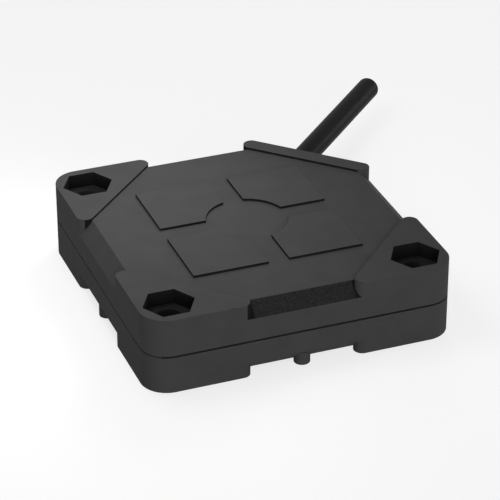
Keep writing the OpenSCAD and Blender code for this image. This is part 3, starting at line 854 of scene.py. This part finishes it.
def make_guide():
    """A domed window on a clear block whose sloped back turns the light out."""
    r = GUIDE_D / 2
    dome = [(-LENS_RISE * (i / LENS_STEPS) ** 2, r * i / LENS_STEPS)
        for i in range(LENS_STEPS, 1, -1)]
    window = turned([(-SIDE_WALL - BEYOND / 2, r), (-LENS_RISE - LENS_EDGE, r)] + dome
        + [(-LENS_SINK, r / LENS_STEPS)])
    low = BOARD_TOP + LAMP_H - SEAM_Z
    high = GUIDE_BLOCK_W / 2
    back = -SIDE_WALL - GUIDE_BLOCK_L
    side = [(back, low), (-SIDE_WALL, low), (-SIDE_WALL, high),
        (back + high - low - GUIDE_SLOPE_LIP, high), (back, low + GUIDE_SLOPE_LIP)]
    outline = rounded_outline(side, [GUIDE_CORNER_R] * len(side))
    block = prism(outline, -GUIDE_BLOCK_W / 2, GUIDE_BLOCK_W / 2)
    upright = Matrix.Rotation(math.radians(45), 4, "Z") @ Matrix.Rotation(QUARTER, 4, "X")
    moved(block, Matrix.Translation(at_chamfer(0, GUIDE_ACROSS)) @ upright)
    moved(window, chamfer_frame(GUIDE_ACROSS))
    finished("light_window", combined(block, "UNION", [window]), [clear],
        instead=["light_guide"])


def make_rotor():
    """The drum and its shaft, turned, with a seal groove and a screwdriver slot."""
    front = -SIDE_WALL - BOARD_GAP
    drum_r = TRIMMER_W / 2 - TRIMMER_WALL - ROTOR_GAP
    shaft_r = SHAFT_D / 2
    groove_r = SEAL_ORBIT - SEAL_T / 2 - SEAL_CLEARANCE
    groove_w = SEAL_T + 4 * SEAL_CLEARANCE
    first = front - TRIMMER_L + TRIMMER_WALL + ROTOR_GAP
    last = front - TRIMMER_WALL - ROTOR_GAP
    end = -SHAFT_RECESS
    groove_start = SEAL_PLACE - groove_w / 2
    groove_end = SEAL_PLACE + groove_w / 2
    profile = [(first, drum_r - DRUM_EDGE), (first + DRUM_EDGE, drum_r)]
    profile += rounded_end(drum_r, last, DRUM_ROUND) + [(last, shaft_r), (groove_start, shaft_r)]
    profile += [(groove_start, groove_r), (groove_end, groove_r), (groove_end, shaft_r)]
    rotor = turned(profile + rounded_end(shaft_r, end, SHAFT_ROUND))
    w = SLOT_W / 2
    slot = prism([(-w, -SHAFT_D), (w, -SHAFT_D), (w, SHAFT_D), (-w, SHAFT_D)], end - SLOT_DEPTH,
        end + BEYOND)
    combined(rotor, "DIFFERENCE", [slot])
    finished("adjuster_rotor", moved(rotor, chamfer_frame(TRIMMER_ACROSS)),
        [brass], body=ADJUSTER, instead=["trimmer_rotor"])


def make_seal():
    profile = [(SEAL_PLACE + p.x, SEAL_ORBIT + p.y) for p in circle(SEAL_T / 2, SMALL_SIDES)]
    ring = moved(turned(profile, closed=True), chamfer_frame(TRIMMER_ACROSS))
    finished("adjuster_seal", ring, [seal_rubber], body=ADJUSTER,
        instead=["trimmer_seal"])


make_grommet()
make_guide()
make_rotor()
make_seal()


# Inside: the cores, and CAD parts that keep their shape and get finishes
CORE_STRAIGHT = 1.2
LEG_LENGTH = 0.69
CAP_L = 0.26
SAME_PLACE = 0.001


def make_cores():
    start = -SIDE_WALL - FLANGE_T - CRIMP_L
    low = BOARD_TOP + CORE_D / 2 - SEAM_Z
    for i, (name, finish) in enumerate(core_finishes.items()):
        a = math.radians(CORE_TURNS[i])
        lane = CABLE_ACROSS + (i - 1) * SOLDER_PITCH
        side = CABLE_ACROSS - CORE_ORBIT * math.sin(a)
        up = CORE_ORBIT * math.cos(a)
        first = at_chamfer(start, side, up)
        out = at_chamfer(start - CORE_STRAIGHT, side, up)
        land = at_chamfer(CORE_LAND, lane, low)
        path = [first, out, (out + land) / 2, land, at_chamfer(CORE_STOP, lane, low)]
        finished(name + "_lead", swept(path, CORE_D / 2), [finish], instead=[name])


def dress(node, material):
    """Gives a CAD node that stays its finish."""
    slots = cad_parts[node].data.materials
    for i in range(len(slots)):
        slots[i] = material


def islands(mesh):
    """The faces of each separate solid in a mesh."""
    at = {}
    for face in mesh.polygons:
        for v in face.vertices:
            key = tuple(round(c / (SAME_PLACE * MM)) for c in mesh.vertices[v].co)
            at.setdefault(key, []).append(face.index)
    group = list(range(len(mesh.polygons)))

    def root(i):
        while group[i] != i:
            group[i] = group[group[i]]
            i = group[i]
        return i

    for faces in at.values():
        for i in faces[1:]:
            group[root(i)] = root(faces[0])
    found = {}
    for face in mesh.polygons:
        found.setdefault(root(face.index), []).append(face)
    return found.values()


def metal_ends(node, finish, ends, end_length, longways=True):
    """A copy of a node with metal on both ends of each part in it, along or across its length."""
    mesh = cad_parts[node].data.copy()
    mesh.materials.clear()
    mesh.materials.append(finish)
    mesh.materials.append(ends)
    for faces in islands(mesh):
        points = [mesh.vertices[v].co for face in faces for v in face.vertices]
        low = [min(p[k] for p in points) for k in range(2)]
        high = [max(p[k] for p in points) for k in range(2)]
        spans = [high[k] - low[k] for k in range(2)]
        axis = spans.index(max(spans)) if longways else spans.index(min(spans))
        for face in faces:
            corners = [mesh.vertices[v].co for v in face.vertices]
            centre = sum(corners, Vector()) / len(corners)
            gap = min(centre[axis] - low[axis], high[axis] - centre[axis])
            face.material_index = 1 if gap < end_length * MM else 0
    piece = bpy.data.objects.new(node + "_finish", mesh)
    bpy.context.scene.collection.objects.link(piece)
    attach(piece, HOUSING)
    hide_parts(node)


make_cores()
for node, longways in (("oscillator_chip", True), ("output_transistor", False),
        ("voltage_regulator", True), ("protection_diodes", False)):
    metal_ends(node, epoxy, tin, LEG_LENGTH, longways)
metal_ends("capacitors", ceramic, tin, CAP_L)
metal_ends("resistors", glaze, tin, CAP_L)
for node, material in {"cable_end": jacket, "crimp_ring": nickel, "conductor_ends": strands,
        "solder_joints": tin, "circuit_board": mask_green, "electrode_board": mask_green,
        "sensing_electrode": copper, "compensation_electrode": copper, "screen_electrode": copper,
        "rear_screen": tin, "potting_compound": resin, "pin_header": header_black,
        "header_pins": gold, "status_lamp": lamp_yellow, "trimmer_case": case_blue}.items():
    dress(node, material)


# Plain studio: a pale floor, a white surround and soft lights. FLOOR_DROP keeps the floor clear
# of the feet, and FLOOR_SHARE is the light that it returns. For the rays that seen_white names
# FLOOR_GLOW is added to it, and the air is white where for all others it gives AIR_LIGHT
FLOOR_SIZE = 6000
FLOOR_DROP = 0.02
FLOOR_SHARE = 0.35
FLOOR_GLOW = 0.75
FLOOR_ROUGHNESS = 0.9
AIR_LIGHT = 0.2


def seen_white(tree):
    """1 for camera, glossy and transmission rays, 0 for light that the floor or the air gives."""
    path = tree.nodes.new("ShaderNodeLightPath")
    total = path.outputs["Is Camera Ray"]
    for kind in ("Is Glossy Ray", "Is Transmission Ray"):
        join = tree.nodes.new("ShaderNodeMath")
        join.operation = "MAXIMUM"
        tree.links.new(total, join.inputs[0])
        tree.links.new(path.outputs[kind], join.inputs[1])
        total = join.outputs[0]
    return total


def make_floor():
    mesh = bpy.data.meshes.new("floor")
    half, low = FLOOR_SIZE / 2 * MM, -FLOOR_DROP * MM
    corners = [(-half, -half, low), (half, -half, low), (half, half, low), (-half, half, low)]
    mesh.from_pydata(corners, [], [(0, 1, 2, 3)])
    floor = bpy.data.objects.new("floor", mesh)
    bpy.context.scene.collection.objects.link(floor)
    material = bpy.data.materials.new("floor")
    material.use_nodes = True
    tree = material.node_tree
    shader = tree.nodes["Principled BSDF"]
    shader.inputs["Base Color"].default_value = (*grey(FLOOR_SHARE), 1)
    shader.inputs["Roughness"].default_value = FLOOR_ROUGHNESS
    shader.inputs["Specular IOR Level"].default_value = 0
    shader.inputs["Emission Color"].default_value = (1, 1, 1, 1)
    share = tree.nodes.new("ShaderNodeMath")
    share.operation = "MULTIPLY"
    share.inputs[1].default_value = FLOOR_GLOW
    tree.links.new(seen_white(tree), share.inputs[0])
    tree.links.new(share.outputs[0], shader.inputs["Emission Strength"])
    mesh.materials.append(material)


def make_world():
    world = bpy.data.worlds.new("studio")
    bpy.context.scene.world = world
    world.use_nodes = True
    tree = world.node_tree
    back = tree.nodes["Background"]
    back.inputs["Color"].default_value = (1, 1, 1, 1)
    strength = tree.nodes.new("ShaderNodeMapRange")
    strength.inputs["To Min"].default_value = AIR_LIGHT
    strength.inputs["To Max"].default_value = 1
    tree.links.new(seen_white(tree), strength.inputs["Value"])
    tree.links.new(strength.outputs["Result"], back.inputs["Strength"])


def place_light(name, lamp, place, away, shines=False):
    light = bpy.data.objects.new(name, lamp)
    bpy.context.scene.collection.objects.link(light)
    light.location = place
    light.rotation_mode = "QUATERNION"
    light.rotation_quaternion = (-away).to_track_quat("-Z", "Y")
    light.visible_camera = False
    light.visible_glossy = shines


def soft_light(name, place, width, share, aim=(0, 0, 0), fan=180):
    """A square lamp aimed at a point, where it alone shows a white surface as bright as share."""
    lamp = bpy.data.lights.new(name, "AREA")
    lamp.shape = "SQUARE"
    lamp.size = width * MM
    lamp.spread = math.radians(fan)
    away = (Vector(place) - Vector(aim)) * MM
    lamp.energy = share * math.pi ** 2 * away.length ** 2
    place_light(name, lamp, Vector(place) * MM, away)


def far_light(name, towards, angle, share, shines=False):
    """Even light from far off, from the side that towards points to; shines if gloss shows it."""
    lamp = bpy.data.lights.new(name, "SUN")
    lamp.energy = share * math.pi
    lamp.angle = math.radians(angle)
    place_light(name, lamp, (0, 0, 0), Vector(towards), shines)


make_floor()
make_world()
soft_light("key", place=(-26, 6, 72), width=40, share=0.315)
soft_light("back", place=(10, 30, 45), width=30, share=0.148, aim=(-30, 0, 10), fan=90)
far_light("front", towards=(-0.12, -0.98, 0.16), angle=35, share=0.595)
far_light("right", towards=(0.97, 0.12, 0.1), angle=20, share=0.23, shines=True)
far_light("behind", towards=(0.35, 0.92, 0.15), angle=35, share=0.3)
bpy.context.scene.view_settings.view_transform = "Standard"
